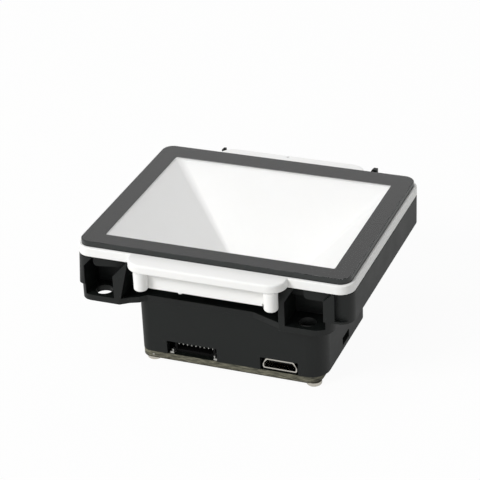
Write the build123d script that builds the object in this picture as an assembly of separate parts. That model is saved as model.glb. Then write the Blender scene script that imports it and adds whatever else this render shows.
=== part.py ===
from build123d import *
import math
import os

os.makedirs("parts", exist_ok=True)

# A fixed-mount code reader module: a glass window over a white light funnel, held in a black
# moulded housing with four mounting ears, closed below by its main circuit board.
# Frame: origin under the middle of the window, on the plane that the four screw heads rest on,
# +X across the window, +Y away from the connector side, +Z up through the window.

# ---------------------------------------------------------------- driving dimensions (mm)
overall_height = 30.0

window_width = 62.0
window_depth = 49.8
window_corner = 2.6
glass_thickness = 1.1
ink_thickness = 0.05
tape_thickness = 0.1
border_side = 4.6
border_end = 4.8

flange_overhang = 0.65
flange_thickness = 2.1
tab_left = -18.4
tab_right = 17.9
tab_reach = 29.75
tab_corner = 3.8
post_offset = 14.9
post_line = 28.2
post_diameter = 3.1
skirt_left = -13.6
skirt_right = 12.6
skirt_face = 27.3
skirt_thickness = 1.2
skirt_drop = 4.5

apex_x = 3.8
apex_y = -7.5
apex_z = 8.1
funnel_wall = 1.0
funnel_bottom_z = 15.3
funnel_left = -26.45
funnel_right = 27.6
funnel_corner = 1.6

head_height = 1.0
board_thickness = 1.6
wall = 1.5

box_left = -19.2
box_right = 24.1
box_front = -21.9
box_rear = 7.4
tray_bottom_z = 19.5
hopper_z = 13.2
hopper_run = 6.3

ear_floor_z = 17.0
ear_bottom_z = 15.6
ear_left = -31.3
ear_right = 26.8
rib_top_x = -19.0
rib_foot_x = -21.7
ear_back = 17.0
pocket_back = 18.4
hole_spacing_x = 47.5
hole_spacing_y = 45.0
hole_centre_x = -2.85
hole_radius = 1.95

screw_left = -16.55
screw_right = 21.1
screw_front = -19.9
screw_rear = 5.15
screw_radius = 0.95

# ---------------------------------------------------------------- heights worked out from them
glass_z = overall_height - glass_thickness
ink_z = glass_z - ink_thickness
flange_top_z = ink_z - tape_thickness
flange_z = flange_top_z - flange_thickness
board_z = head_height
board_top_z = board_z + board_thickness
flange_width = window_width + 2 * flange_overhang
flange_depth = window_depth + 2 * flange_overhang
flange_corner = window_corner + flange_overhang
flange_half_x = flange_width / 2
flange_half_y = flange_depth / 2
opening_half_y = window_depth / 2 - border_end + 0.6
box_centre_x = (box_left + box_right) / 2
box_centre_y = (box_front + box_rear) / 2
tray_floor_z = tray_bottom_z + wall


def block(x0, x1, y0, y1, z0, z1):
    """A box between two corners."""
    centre = Pos((x0 + x1) / 2, (y0 + y1) / 2, (z0 + z1) / 2)
    return centre * Box(x1 - x0, y1 - y0, z1 - z0)


def rod(x, y, z0, z1, radius):
    """An upright cylinder."""
    return Pos(x, y, (z0 + z1) / 2) * Cylinder(radius, z1 - z0)


def slab(width, depth, corner, z0, z1, x=0.0, y=0.0):
    """A flat plate with rounded corners."""
    return Pos(x, y, z0) * extrude(RectangleRounded(width, depth, corner), z1 - z0)


def plate_from(points, z0, z1):
    """An upright prism on a polygon given in X and Y."""
    return Pos(0, 0, z0) * extrude(make_face(Polyline(*points, close=True)), z1 - z0)


def side_prism(points, x0, x1):
    """A prism along X on a polygon given in Y and Z."""
    profile = make_face(Polyline(*points, close=True))
    return Pos(x0, 0, 0) * extrude(Plane.YZ * profile, x1 - x0)


def front_prism(points, y0, y1):
    """A prism along Y on a polygon given in X and Z."""
    profile = make_face(Polyline(*points, close=True))
    return Pos(0, y1, 0) * extrude(Plane.XZ * profile, y1 - y0)


def upright_edges(shape):
    return shape.edges().filter_by(Axis.Z)


def save(name, shape, colour):
    """Name a node, colour it and write its STEP file."""
    shape.label = name
    shape.color = Color(*colour)
    export_step(shape, f"parts/{name}.step")


def group(pieces):
    return Compound(children=list(pieces))


black = (0.07, 0.07, 0.075)
white = (0.92, 0.92, 0.91)
metal = (0.75, 0.75, 0.74)
gold = (0.83, 0.67, 0.35)
mask = (0.07, 0.08, 0.07)
olive = (0.42, 0.40, 0.30)
clear = (0.75, 0.85, 0.88)


# ---------------------------------------------------------------- window
def border_ring(z0, z1, inner_grow=0.0):
    """A frame as wide as the printed border, under the window plate."""
    outer = slab(window_width, window_depth, window_corner, z0, z1)
    inner_width = window_width - 2 * border_side + 2 * inner_grow
    inner_depth = window_depth - 2 * border_end + 2 * inner_grow
    return outer - slab(inner_width, inner_depth, 0.4, z0 - 1, z1 + 1)


window_glass = slab(window_width, window_depth, window_corner, glass_z, overall_height)
top_rim = window_glass.faces().sort_by(Axis.Z)[-1].edges()
window_glass = chamfer(top_rim, 0.18)
border_print = border_ring(ink_z, glass_z)
window_tape = border_ring(flange_top_z, ink_z, inner_grow=0.5)


# ---------------------------------------------------------------- white light funnel and its flange
def funnel_section(z, grow):
    """The funnel's rectangle at a height, every side running to the apex, grown by its wall."""
    share = (z - apex_z) / (flange_top_z - apex_z)
    x0 = apex_x + share * (funnel_left - apex_x)
    x1 = apex_x + share * (funnel_right - apex_x)
    y0 = apex_y + share * (-opening_half_y - apex_y)
    y1 = apex_y + share * (opening_half_y - apex_y)
    corner = 0.4 + share * (funnel_corner - 0.4)
    face = RectangleRounded(x1 - x0 + 2 * grow, y1 - y0 + 2 * grow, corner + grow)
    return Pos((x0 + x1) / 2, (y0 + y1) / 2, z) * face


def funnel_solid(z0, z1, grow):
    return loft([funnel_section(z0, grow), funnel_section(z1, grow)])


def tab_plate(side):
    """One rounded tab at the flange's front (-1) or rear (+1) edge."""
    reach = tab_reach - flange_half_y + 6.0
    middle_x = (tab_left + tab_right) / 2
    middle_y = side * (tab_reach - reach / 2)
    plate = slab(tab_right - tab_left, reach, tab_corner, flange_z, flange_top_z, middle_x, middle_y)
    rims = plate.edges().filter_by(GeomType.CIRCLE) + plate.edges().filter_by(Axis.X)
    outer_rims = [edge for edge in rims if side * edge.center().Y > flange_half_y + 0.4]
    return fillet(outer_rims, 0.45)


def skirt_and_posts(side):
    """The wall that hangs under a tab and the two round posts at its ends."""
    foot_z = flange_z - skirt_drop
    face = side * skirt_face
    back = side * (skirt_face - skirt_thickness)
    skirt = block(skirt_left, skirt_right, min(face, back), max(face, back), foot_z, flange_z)
    pieces = skirt
    for end in (-1, 1):
        post = rod(end * post_offset, side * post_line, foot_z, flange_z, post_diameter / 2)
        post = fillet(post.faces().sort_by(Axis.Z)[0].edges(), 0.5)
        web_x = sorted((end * post_offset, skirt_right if end > 0 else skirt_left))
        web = block(web_x[0], web_x[1], min(face, back), max(face, back), foot_z + 0.6, flange_z)
        pieces = pieces + post + web
    return pieces


flange = slab(flange_width, flange_depth, flange_corner, flange_z, flange_top_z)
flange = fillet(flange.faces().sort_by(Axis.Z)[-1].edges(), 0.3)
tabs = tab_plate(-1) + tab_plate(1)
hangers = skirt_and_posts(-1) + skirt_and_posts(1)
funnel_shell = funnel_solid(funnel_bottom_z, flange_top_z, funnel_wall)
funnel_hollow = funnel_solid(funnel_bottom_z - 1.0, flange_top_z + 0.01, 0.0)
gate_mark = rod(-6.4, -(skirt_face - skirt_thickness / 2), flange_z - skirt_drop - 0.35,
                flange_z - skirt_drop + 0.2, 0.5)
light_funnel = flange + tabs + hangers + funnel_shell + gate_mark
light_funnel = light_funnel - funnel_hollow
light_funnel = light_funnel - rod(-1.4, 28.9, flange_top_z - 0.25, flange_top_z + 1, 0.45)

# ---------------------------------------------------------------- black housing
floor_opening = (-17.7, 22.6, -17.8, 12.9)
recess_left = rib_top_x
recess_right = 15.4
recess_post_left = -21.5
recess_post_right = 16.9
groove_back = -19.0
recess_wall_face = 21.6
recess_wall_back = 20.4
corner_face = 22.6
step_z = 22.2
lip_face = 24.25
lip_face_left_ear = 22.8
lip_rounding = 0.9


def ear_pocket(x0, x1, left_top, right_top, left_drop, right_drop):
    """The open-fronted pocket over a mounting ear, with its two upper corners cut at a slant."""
    top = flange_z + 1.0
    left_run = left_top - x0
    right_run = x1 - right_top
    outline = [
        (x0, ear_floor_z),
        (x1, ear_floor_z),
        (x1, flange_z - right_drop),
        (x1 - right_run, flange_z - 0.2),
        (x1 - right_run, top),
        (x0 + left_run, top),
        (x0 + left_run, flange_z - 0.2),
        (x0, flange_z - left_drop),
    ]
    return outline


left_pocket = ear_pocket(-29.7, -22.9, -27.5, -19.3, 2.6, 4.2)
right_pocket = ear_pocket(16.8, 25.5, 19.0, 27.6, 3.9, 2.2)
pocket_spans = (
    (-29.7, -22.9, left_pocket, -27.9, -19.6, 23.7),
    (16.8, 25.5, right_pocket, 20.8, 27.9, 23.7),
)
ear_spans = ((ear_left, rib_top_x, rib_foot_x, 2.8), (15.4, ear_right, ear_right, 4.2))
right_recess = (28.0, 30.6)


def ear_block(side, x0, x1, foot_x1, corner):
    """The solid corner that a pocket is cut from, hanging below the tray."""
    y0, y1 = sorted((side * ear_back, side * flange_half_y))
    lower = block(x0, x1, y0, y1, ear_floor_z, tray_bottom_z)
    lower = lower + block(x0, foot_x1, y0, y1, ear_bottom_z, ear_floor_z)
    outer = [e for e in upright_edges(lower) if side * e.center().Y > flange_half_y - 0.1]
    far = max(outer, key=lambda e: abs(e.center().X))
    upper = block(x0, x1, y0, y1, tray_bottom_z, tray_floor_z + 0.5)
    return fillet([far], corner) + (upper & outer_tray)


def ear_web(side):
    """The floor plates that run from the two ears back to the lower box."""
    left = [
        (-24.0, side * flange_half_y),
        (rib_foot_x, side * flange_half_y),
        (-19.8, side * 24.2),
        (-17.9, side * 23.4),
        (-16.4, side * -box_front),
        (-16.4, side * ear_back),
        (-24.0, side * ear_back),
    ]
    right = [
        (20.0, side * flange_half_y),
        (17.4, side * flange_half_y),
        (8.0, side * -box_front),
        (8.0, side * ear_back),
        (20.0, side * ear_back),
    ]
    return plate_from(left, ear_bottom_z, ear_floor_z) + plate_from(right, ear_bottom_z, ear_floor_z)


def side_features(side):
    """The two ears at the front (-1) or rear (+1) of the tray, webbed to the box at the front."""
    ears = [ear_block(side, *span) for span in ear_spans]
    if side < 0:
        ears.append(ear_web(side))
    shape = ears[0]
    for piece in ears[1:]:
        shape = shape + piece
    return shape


def middle_recess(side):
    """The space under a tab where the tray's wall stands back."""
    y0, y1 = sorted((side * recess_wall_face, side * (flange_half_y + 1)))
    return block(recess_left, recess_right, y0, y1, ear_floor_z, flange_z + 1)


hopper_profile = [
    (0.0, hopper_z),
    (box_rear, hopper_z),
    (box_rear + hopper_run, tray_bottom_z),
    (box_rear + hopper_run, tray_floor_z),
    (0.0, tray_floor_z),
]
outer_hopper = side_prism(hopper_profile, box_left, box_right)


def rounded_box(x0, x1, y0, y1, z0, z1, corners):
    """An upright box with its own radius at each corner, front-left first, anticlockwise."""
    shape = block(x0, x1, y0, y1, z0, z1)
    places = ((x0, y0), (x1, y0), (x1, y1), (x0, y1))
    for (x, y), radius in zip(places, corners):
        edge = min(upright_edges(shape), key=lambda e: math.hypot(e.center().X - x, e.center().Y - y))
        shape = fillet([edge], radius)
    return shape


tray_left_corner = 1.9
box_corners = (2.6, 4.2, 2.2, 2.2)
inner_corners = (1.2, 2.8, 1.0, 1.0)


def tray_section(left_corner, z):
    """The tray's outline at a height; its left corners are tighter at the bottom."""
    outline = Rectangle(flange_width, flange_depth)
    outline = fillet(outline.vertices().sort_by(Axis.X)[:2], left_corner)
    return Pos(0, 0, z) * fillet(outline.vertices().sort_by(Axis.X)[-2:], flange_corner)


outer_tray = loft([tray_section(tray_left_corner, tray_bottom_z), tray_section(flange_corner, flange_z)])
outer_box = rounded_box(box_left, box_right, box_front, box_rear, board_top_z, tray_floor_z, box_corners)
housing = outer_tray + outer_box + outer_hopper + side_features(-1) + side_features(1)
ledge = block(-17.4, 9.0, box_front - 0.12, box_front + 2.0, ear_bottom_z, ear_floor_z)
housing = housing + ledge

tray_hollow = slab(flange_width - 2 * wall, flange_depth - 2 * wall, flange_corner - wall,
                   tray_floor_z, flange_z + 1)
keep_blocks = []
for side in (-1, 1):
    y_face, y_in = side * (flange_half_y + 1), side * (recess_wall_back)
    y0, y1 = sorted((y_face, y_in))
    keep_blocks.append(block(recess_post_left, recess_post_right, y0, y1, tray_floor_z - 1, flange_z + 2))
    for x0, x1, foot_x1, corner in ear_spans:
        y0, y1 = sorted((side * ear_back, side * (flange_half_y + 1)))
        x_low = x0 - 2.0 if x0 < 0 else x0
        keep_blocks.append(block(x_low, x1, y0, y1, tray_floor_z - 1, flange_z + 2))
    y0, y1 = sorted((side * corner_face, side * (flange_half_y + 1)))
    keep_blocks.append(block(recess_post_right, flange_half_x, y0, y1, tray_floor_z - 1, flange_z + 2))
for keep in keep_blocks:
    tray_hollow = tray_hollow - keep
housing = housing - tray_hollow

x0, x1, y0, y1 = floor_opening
housing = housing - block(x0, x1, y0, y1, tray_bottom_z - 0.5, flange_z - 3.0)
inner_box = rounded_box(box_left + wall, box_right - wall, box_front + wall, box_rear - wall,
                        board_top_z - 1, ear_bottom_z + 0.3, inner_corners)
upper_box = block(box_left + wall, box_right - wall, groove_back + 1.2, box_rear - wall,
                  ear_bottom_z, tray_floor_z + 0.01)
hollow_rear = box_rear + hopper_run - wall - 0.8
hopper_hollow = side_prism([
    (-1.0, hopper_z + 0.7),
    (box_rear - wall, hopper_z + 0.7),
    (hollow_rear, tray_bottom_z + 0.7),
    (hollow_rear, tray_floor_z + 0.01),
    (-1.0, tray_floor_z + 0.01),
], box_left + wall, box_right - wall)
housing = housing - inner_box - upper_box - hopper_hollow

# The recess under each tab, the deep groove under the front one, and the wall behind them.
housing = housing - middle_recess(-1) - middle_recess(1)
groove_top_z = tray_bottom_z + 2.0
groove = block(recess_left, recess_right, -(flange_half_y + 1), groove_back, ear_floor_z, groove_top_z)
housing = housing - groove

# The rib beside each left pocket leans: it is narrow at its foot and wide under the flange.
rib_lean = (rib_top_x - rib_foot_x) / (flange_z - ear_bottom_z)


def rib_wedge(z0, z1, y0, y1):
    """What the lean takes off the rib between two heights."""
    corners = [
        (rib_top_x - rib_lean * (flange_z - z0), z0),
        (rib_top_x + 0.05, z0),
        (rib_top_x + 0.05, z1),
        (rib_top_x - rib_lean * (flange_z - z1), z1),
    ]
    return front_prism(corners, y0, y1)


past_flange = flange_half_y + 1
rib_top_z = flange_z - 0.3
housing = housing - rib_wedge(ear_floor_z, groove_top_z, -past_flange, groove_back)
housing = housing - rib_wedge(groove_top_z, rib_top_z, -past_flange, -recess_wall_face)
housing = housing - rib_wedge(ear_floor_z, rib_top_z, recess_wall_face, past_flange)
wall_left = rib_foot_x - 0.5
step_wall = block(wall_left, recess_right, groove_back, groove_back + 1.2, ear_floor_z - 0.6,
                  tray_floor_z + 1.2)
front_web = block(wall_left, recess_right, -recess_wall_face, groove_back + 1.2, groove_top_z,
                  tray_floor_z + 1.2)
front_wall = block(wall_left, recess_right, -recess_wall_face, -recess_wall_back, groove_top_z, flange_z)
housing = housing + step_wall + front_web + front_wall


def pocket_lip(side, x0, x1, low_z):
    """The lip that hangs in front of a pocket's back wall, slanting back over the left ears."""
    far_y = lip_face if x0 > 0 else lip_face_left_ear
    outline = [
        (x0, side * (pocket_back - 0.5)),
        (x1, side * (pocket_back - 0.5)),
        (x1, side * far_y),
        (x0, side * lip_face),
    ]
    lip = plate_from(outline, low_z, flange_z)
    low_edges = lip.edges().filter_by(Axis.Y).sort_by(Axis.Z)[:2]
    return fillet(low_edges.sort_by(Axis.X)[:1], lip_rounding)


for side in (-1, 1):
    for x0, x1, outline, lip_left, lip_right, lip_z in pocket_spans:
        y0, y1 = sorted((side * pocket_back, side * (flange_half_y + 1)))
        housing = housing - front_prism(outline, y0, y1)
        step_y = sorted((side * (pocket_back - 0.5), side * (recess_wall_back + 0.2)))
        housing = housing + block(x0 - 0.5, lip_right, step_y[0], step_y[1], step_z, flange_z)
        housing = housing + pocket_lip(side, lip_left, lip_right, lip_z)
    recess_y = sorted((side * (flange_half_y - 1.0), side * (flange_half_y + 1)))
    recess = block(right_recess[0], right_recess[1] + 3, recess_y[0], recess_y[1],
                   tray_bottom_z + 0.5, flange_z + 1)
    rounding = rod(right_recess[1] - 1.6, side * (flange_half_y - 1.0 - 2.6), tray_bottom_z,
                   flange_z, 2.6)
    housing = housing - (recess - rounding)

housing = housing - funnel_solid(funnel_bottom_z - 2.0, flange_z + 0.01, funnel_wall + 0.12)
corner_pad = block(15.5, box_right - 0.5, box_front + 0.5, -17.4, 11.0, ear_bottom_z + 0.5)
housing = housing + corner_pad

for x in (hole_centre_x - hole_spacing_x / 2, hole_centre_x + hole_spacing_x / 2):
    for y in (-hole_spacing_y / 2, hole_spacing_y / 2):
        housing = housing - rod(x, y, ear_bottom_z, ear_floor_z + 1, hole_radius)

# Screw bosses for the circuit board.
screw_places = [(x, y) for y in (screw_front, screw_rear) for x in (screw_left, screw_right)]
boss_top_z = 12.0
for x, y in screw_places:
    corner_x = box_left + 0.5 if x < box_centre_x else box_right - 0.5
    corner_y = box_front + 0.5 if y < box_centre_y else box_rear - 0.5
    boss = rod(x, y, board_top_z, boss_top_z, 2.3)
    web_x = sorted((x, corner_x))
    web_y = sorted((y, corner_y))
    rib_a = block(web_x[0], web_x[1], y - 0.5, y + 0.5, board_top_z, boss_top_z)
    rib_b = block(x - 0.5, x + 0.5, web_y[0], web_y[1], board_top_z, boss_top_z)
    housing = housing + (boss + rib_a + rib_b)
housing = housing & (outer_tray + outer_box + outer_hopper + side_features(-1) + side_features(1)
                     + ledge)
for x, y in screw_places:
    housing = housing - rod(x, y, board_top_z - 1, boss_top_z - 2.0, screw_radius)

# A shadow gap all round, between the flange and the tray.
gap_height = 0.22
gap_depth = 0.3
gap_cut = slab(flange_width + 2, flange_depth + 2, flange_corner + 1, flange_z - gap_height, flange_z + 1)
gap_core = slab(flange_width - 2 * gap_depth, flange_depth - 2 * gap_depth, flange_corner - gap_depth,
                flange_z - gap_height - 1, flange_z + 2)
housing = housing - (gap_cut - gap_core)

# Cut-outs for the wafer connector, the USB socket and the slot in the right wall.
wafer_cut = (-12.65, -0.8, 5.85)
usb_cut = (9.4, 18.15, 5.7)
for x0, x1, top in (wafer_cut, usb_cut):
    housing = housing - block(x0, x1, box_front - 1, box_front + wall + 0.6, board_top_z - 1, top)
housing = housing - block(box_right - wall - 1, box_right + 1, -9.1, -4.6, 3.7, 5.7)

# Hooks that stand at the two ends of the rear tab.
hook_foot_z = 24.6
hook_places = ((-18.4, -17.35, 28.8, 29.4, 28.9), (19.2, 20.6, 27.6, 28.7, 29.05))
for x0, x1, y0, y1, top_z in hook_places:
    arm = block(x0, x1, recess_wall_back - 0.1, y1, hook_foot_z, flange_z - 0.15)
    upright = block(x0, x1, y0, y1, hook_foot_z, top_z)
    hook = arm + upright
    top_edges = hook.faces().sort_by(Axis.Z)[-1].edges()
    hook = chamfer(top_edges.filter_by(Axis.Y).sort_by(Axis.X)[:1], 0.45)
    housing = housing + hook

# ---------------------------------------------------------------- main board and its screws
board_gap = 0.1
board_right = 22.9
main_board = rounded_box(box_left + board_gap, board_right, box_front + board_gap, box_rear - board_gap,
                         board_z, board_top_z, (2.4, 3.2, 2.0, 2.0))
for x, y in screw_places:
    main_board = main_board - rod(x, y, board_z - 1, board_top_z + 1, 1.1)


def pan_screw(x, y):
    """A thread-forming pan-head screw with a cross recess, head down."""
    head = rod(x, y, 0, head_height, 1.75)
    head = fillet(head.faces().sort_by(Axis.Z)[0].edges(), 0.45)
    shank = rod(x, y, head_height - 0.2, head_height + 7.0, screw_radius)
    tip = Pos(x, y, head_height + 7.0 + 0.4) * Cone(screw_radius, 0.3, 0.8)
    cross = block(x - 0.9, x + 0.9, y - 0.2, y + 0.2, -1, 0.6) + block(x - 0.2, x + 0.2, y - 0.9, y + 0.9,
                                                                       -1, 0.6)
    return head + shank + tip - cross


board_screws = [pan_screw(x, y) for x, y in screw_places]

# ---------------------------------------------------------------- USB socket
usb_x = 13.82
usb_width = 7.95
usb_height = 2.5
usb_sheet = 0.25
usb_depth = 5.2
usb_z = board_top_z + 0.3
usb_middle_z = usb_z + usb_height / 2
usb_front = box_front + 0.4


def usb_prism(inset, y0, y1):
    """The socket's outline, wide below and narrower above, drawn in and run from front to back."""
    half = usb_width / 2 - inset
    low_z = usb_z + inset
    high_z = usb_z + usb_height - inset
    shoulder = 0.75
    outline = Polyline(
        (-half, low_z),
        (half, low_z),
        (half, low_z + 1.0),
        (half - shoulder, high_z),
        (-half + shoulder, high_z),
        (-half, low_z + 1.0),
        close=True,
    )
    face = make_face(outline)
    face = fillet(face.vertices(), 0.5 - inset / 2)
    return Pos(usb_x, y1, 0) * extrude(Plane.XZ * face, y1 - y0)


usb_outer = usb_prism(0.12, usb_front + 0.5, usb_front + usb_depth)
usb_lip = usb_prism(0.0, usb_front, usb_front + 0.5)
usb_bore = usb_prism(usb_sheet + 0.05, usb_front - 1, usb_front + usb_depth - 0.5)
usb_shell = usb_outer + usb_lip - usb_bore
for end in (-1, 1):
    foot_x = sorted((usb_x + end * 2.2, usb_x + end * 3.4))
    usb_shell = usb_shell + block(foot_x[0], foot_x[1], usb_front + 2.2, usb_front + 3.8, board_top_z,
                                  usb_z + 0.3)
usb_back = usb_front + usb_depth - 0.5
usb_tongue = block(usb_x - 2.4, usb_x + 2.4, usb_front + 0.8, usb_back, usb_middle_z + 0.1,
                   usb_middle_z + 0.65)
usb_tongue = usb_tongue + block(usb_x - 2.9, usb_x + 2.9, usb_back - 0.8, usb_back, usb_middle_z - 0.8,
                                usb_middle_z + 0.8)
usb_contacts = [
    block(usb_x + i * 0.65 - 0.15, usb_x + i * 0.65 + 0.15, usb_front + 1.4, usb_back - 0.8,
          usb_middle_z - 0.02, usb_middle_z + 0.1)
    for i in range(-2, 3)
]

# ---------------------------------------------------------------- side-entry wafer connector
wafer_pins = 9
wafer_pitch = 1.0
wafer_x = -6.55
wafer_width = (wafer_pins - 1) * wafer_pitch + 1.6
wafer_front = box_front + 1.6
wafer_depth = 3.9
wafer_top = board_top_z + 2.75
wafer_side = 0.5
wafer_housing = block(wafer_x - wafer_width / 2, wafer_x + wafer_width / 2, wafer_front,
                      wafer_front + wafer_depth, board_top_z, wafer_top)
wafer_housing = wafer_housing - block(wafer_x - wafer_width / 2 + wafer_side,
                                      wafer_x + wafer_width / 2 - wafer_side,
                                      wafer_front - 1, wafer_front + wafer_depth - 1.2,
                                      board_top_z + 0.6, wafer_top - 0.45)
wafer_contacts = []
blade_z = board_top_z + 1.6
for i in range(wafer_pins):
    pin_x = wafer_x + (i - (wafer_pins - 1) / 2) * wafer_pitch
    slot = block(pin_x - 0.25, pin_x + 0.25, wafer_front - 1, wafer_front + 0.9, wafer_top - 0.45,
                 wafer_top + 1)
    wafer_housing = wafer_housing - slot
    blade = block(pin_x - 0.15, pin_x + 0.15, wafer_front + 0.4, wafer_front + wafer_depth + 0.9,
                  blade_z, blade_z + 0.25)
    tail = block(pin_x - 0.15, pin_x + 0.15, wafer_front + wafer_depth + 0.2,
                 wafer_front + wafer_depth + 0.9, board_top_z, blade_z + 0.25)
    tip = block(pin_x - 0.15, pin_x + 0.15, wafer_front + 0.4, wafer_front + 0.65, blade_z, blade_z + 0.55)
    wafer_contacts.append(blade + tail + tip)
    wafer_housing = wafer_housing - blade
wafer_tabs = []
for end in (-1, 1):
    side_x = wafer_x + end * wafer_width / 2
    plate_x = sorted((side_x, side_x + end * 0.3))
    foot_x = sorted((side_x, side_x + end * 0.85))
    y0, y1 = wafer_front - 1.0, wafer_front + 0.6
    upright = block(plate_x[0], plate_x[1], y0, y1, board_top_z, board_top_z + 1.0)
    wafer_tabs.append(upright + block(foot_x[0], foot_x[1], y0, y1, board_top_z, board_top_z + 0.35))

# ---------------------------------------------------------------- parts on the main board
chip_z = board_top_z


def chip(x, y, width, depth, height):
    """A flat package with a chamfered rim and a shallow index dimple."""
    body = block(x - width / 2, x + width / 2, y - depth / 2, y + depth / 2, chip_z, chip_z + height)
    body = chamfer(body.faces().sort_by(Axis.Z)[-1].edges(), min(0.12, height / 4))
    dimple = rod(x - width / 2 + 0.9, y + depth / 2 - 0.9, chip_z + height - 0.06, chip_z + height + 1, 0.3)
    return body - dimple


processor = chip(-9.6, -8.5, 9.0, 9.0, 1.0)
memory_chip = chip(-9.5, 1.6, 8.0, 5.0, 0.9)
flash_chip = chip(17.6, -6.6, 5.0, 6.0, 0.8)
crystal = slab(3.2, 2.5, 0.4, chip_z, chip_z + 0.75, 0.1, -14.9)
power_regulators = [chip(-14.6, -14.9, 2.9, 2.8, 1.1), chip(3.4, -15.4, 2.9, 2.8, 1.1)]
power_inductors = [slab(3.6, 3.6, 0.5, chip_z, chip_z + 1.8, x, -12.6) for x in (14.2, 18.6)]


def capacitor(x, y, width, depth):
    """A chip capacitor with its two plated ends standing a little proud."""
    body = block(x - width / 2, x + width / 2, y - depth / 2, y + depth / 2, chip_z, chip_z + 0.7)
    waist = width * 0.26
    return body - block(x - waist, x + waist, y - depth, y + depth, chip_z + 0.66, chip_z + 1)


board_capacitors = [capacitor(-16.2, -11.6 + 1.7 * i, 1.6, 0.8) for i in range(5)]
board_capacitors += [capacitor(21.3, -12.6 + 1.5 * i, 1.6, 0.8) for i in range(3)]
board_capacitors += [capacitor(8.0 + 2.2 * i, -14.9, 1.6, 0.8) for i in range(2)]
buzzer_x = 15.0
buzzer_y = 1.4
buzzer = rod(buzzer_x, buzzer_y, chip_z, chip_z + 4.0, 4.0)
buzzer = chamfer(buzzer.faces().sort_by(Axis.Z)[-1].edges(), 0.3)
buzzer = buzzer - rod(buzzer_x, buzzer_y, chip_z + 3.2, chip_z + 5, 0.9)
status_led = block(21.2, 22.2, -7.65, -6.05, chip_z, chip_z + 0.7)

# ---------------------------------------------------------------- camera on its own small board
lens_x = apex_x
lens_y = apex_y
camera_board_z = 5.4
camera_board_top_z = camera_board_z + 0.8
camera_half_x = 8.2
camera_half_y = 5.6
spacer_offset = 6.6
camera_board = slab(2 * camera_half_x, 2 * camera_half_y, 0.8, camera_board_z, camera_board_top_z,
                    lens_x, lens_y)
camera_spacers = []
camera_screws = []
for end in (-1, 1):
    x = lens_x + end * spacer_offset
    y = lens_y + end * 3.6
    camera_board = camera_board - rod(x, y, camera_board_z - 1, camera_board_top_z + 1, 0.8)
    spacer = Pos(x, y, board_top_z) * extrude(RegularPolygon(1.5, 6), camera_board_z - board_top_z)
    spacer = spacer - rod(x, y, board_top_z + 0.3, camera_board_z + 1, 0.72)
    camera_spacers.append(spacer)
    head = rod(x, y, camera_board_top_z, camera_board_top_z + 0.9, 1.3)
    head = fillet(head.faces().sort_by(Axis.Z)[-1].edges(), 0.3)
    shank = rod(x, y, camera_board_z - 2.0, camera_board_top_z + 0.1, 0.7)
    screw = head + shank
    cross = block(x - 0.7, x + 0.7, y - 0.15, y + 0.15, camera_board_top_z + 0.5, camera_board_top_z + 2)
    cross = cross + block(x - 0.15, x + 0.15, y - 0.7, y + 0.7, camera_board_top_z + 0.5,
                          camera_board_top_z + 2)
    camera_screws.append(screw - cross)

sensor_top_z = camera_board_top_z + 0.9
image_sensor = block(lens_x - 3.0, lens_x + 3.0, lens_y - 3.0, lens_y + 3.0, camera_board_top_z,
                     sensor_top_z)
image_sensor = image_sensor - block(lens_x - 2.6, lens_x + 2.6, lens_y - 2.6, lens_y + 2.6,
                                    sensor_top_z - 0.3, sensor_top_z + 1)
sensor_glass = block(lens_x - 2.6, lens_x + 2.6, lens_y - 2.6, lens_y + 2.6, sensor_top_z - 0.3,
                     sensor_top_z)

holder_half = 4.4
holder_base_top_z = camera_board_top_z + 3.2
holder_top_z = 12.2
barrel_radius = 3.5
thread_clearance = 0.05
filter_z = holder_base_top_z - 1.1
lens_holder = slab(2 * holder_half, 2 * holder_half, 0.8, camera_board_top_z, holder_base_top_z,
                   lens_x, lens_y)
lens_holder = lens_holder + rod(lens_x, lens_y, holder_base_top_z, holder_top_z, holder_half - 0.1)
lens_holder = lens_holder - block(lens_x - 3.5, lens_x + 3.5, lens_y - 3.5, lens_y + 3.5,
                                  camera_board_top_z - 1, filter_z)
lens_holder = lens_holder - rod(lens_x, lens_y, filter_z - 1, holder_base_top_z, 2.3)
lens_holder = lens_holder - rod(lens_x, lens_y, holder_base_top_z - 0.1, holder_top_z + 1,
                                barrel_radius + thread_clearance)
infrared_filter = block(lens_x - 3.0, lens_x + 3.0, lens_y - 3.0, lens_y + 3.0, filter_z - 0.4, filter_z)

# Threaded barrel with its glass, which turns in the holder to set the focus.
barrel_z = holder_base_top_z + 0.3
barrel_top_z = 14.8
rear_glass_z = barrel_z + 0.5
front_glass_z = barrel_top_z - 1.8
lens_barrel = rod(lens_x, lens_y, barrel_z, barrel_top_z - 0.9, barrel_radius)
lens_barrel = lens_barrel + rod(lens_x, lens_y, barrel_top_z - 1.6, barrel_top_z, barrel_radius + 0.35)
lens_barrel = chamfer(lens_barrel.faces().sort_by(Axis.Z)[-1].edges(), 0.25)
lens_barrel = lens_barrel - rod(lens_x, lens_y, barrel_z - 1, barrel_z + 0.5, 1.9)
lens_barrel = lens_barrel - rod(lens_x, lens_y, rear_glass_z, rear_glass_z + 1.2, 2.4)
lens_barrel = lens_barrel - rod(lens_x, lens_y, rear_glass_z, front_glass_z, 1.6)
lens_barrel = lens_barrel - rod(lens_x, lens_y, front_glass_z, barrel_top_z + 1, 2.5)
for i in range(4):
    notch = Rot(0, 0, 90 * i + 45) * block(barrel_radius - 0.25, barrel_radius + 1, -0.35, 0.35, -0.9, 0.1)
    lens_barrel = lens_barrel - Pos(lens_x, lens_y, barrel_top_z) * notch
lens_rear_glass = rod(lens_x, lens_y, rear_glass_z, rear_glass_z + 1.2, 2.4)


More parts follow.
